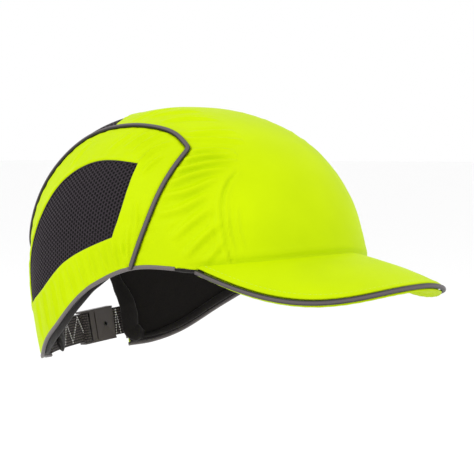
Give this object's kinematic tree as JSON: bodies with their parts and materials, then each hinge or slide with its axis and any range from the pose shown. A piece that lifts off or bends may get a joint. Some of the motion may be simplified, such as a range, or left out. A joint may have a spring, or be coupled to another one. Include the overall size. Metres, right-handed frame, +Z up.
{
  "type": "bump cap",
  "caption": "High-visibility bump cap: fabric cover over a hard shell, short peak, mesh inserts, reflective piping and a rear strap with a cam buckle.",
  "frame": {"origin": "middle of the head opening, where the wearer's head fills the rim", "axes": "+Z up with the cap worn, -Y the way the wearer faces, so the peak points to -Y; +X is the wearer's left"},
  "size_m": [0.1724, 0.2577, 0.1491],
  "materials": {
    "hi_vis_fabric": "tight plain-woven polyester, slightly glossy",
    "mesh_fabric": "black knitted spacer mesh with round holes",
    "reflective_trim": "grey retro-reflective tape folded round a cord",
    "edge_binding": "grey retro-reflective edge tape",
    "lining_fabric": "black brushed polyester",
    "webbing": "ribbed black polyester webbing",
    "shell_plastic": "moulded polyethylene, satin",
    "foam": "closed-cell EVA foam, fine open skin",
    "peak_board": "natural polyethylene sheet",
    "buckle_plastic": "moulded acetal, satin",
    "pin_steel": "plain drawn wire"
  },
  "bodies": {
    "cap": {"front_crown_panel": "hi_vis_fabric", "side_panel_left": "hi_vis_fabric", "side_panel_right": "hi_vis_fabric", "mesh_insert_left": "mesh_fabric", "mesh_insert_right": "mesh_fabric", "rear_mesh_panel": "mesh_fabric", "panel_piping_left": "reflective_trim", "panel_piping_right": "reflective_trim", "peak_piping": "reflective_trim", "lower_binding_left": "edge_binding", "lower_binding_right": "edge_binding", "arch_binding": "edge_binding", "peak_top_cover": "hi_vis_fabric", "peak_under_cover": "hi_vis_fabric", "peak_board": "peak_board", "hard_shell": "shell_plastic", "crown_pad": "foam", "front_pad": "foam", "side_pad_left": "foam", "side_pad_right": "foam", "rear_pad": "foam", "sweatband": "lining_fabric", "side_lining_left": "lining_fabric", "side_lining_right": "lining_fabric", "strap_tab_right": "webbing", "strap_tab_left": "webbing", "anchor_strap": "webbing", "adjusting_strap": "webbing", "buckle_frame": "buckle_plastic", "buckle_pin": "pin_steel"},
    "cam_lever": {"buckle_cam": "buckle_plastic"},
    "strap_end": {"strap_tail": "webbing"}
  },
  "joints": [
    {"name": "buckle_cam_hinge", "type": "hinge", "parent": "cap", "child": "cam_lever", "pos_m": [0.02255, 0.09437, -0.03261], "axis": [0.0872, -0.13, -0.9877], "range_deg": [0, 95]},
    {"name": "strap_tail_slide", "type": "hinge", "parent": "cap", "child": "strap_end", "pos_m": [0.00006, 0.02509, -0.02547], "axis": [-0.0872, 0.13, 0.9877], "range_deg": [0, 6.5]}
  ]
}
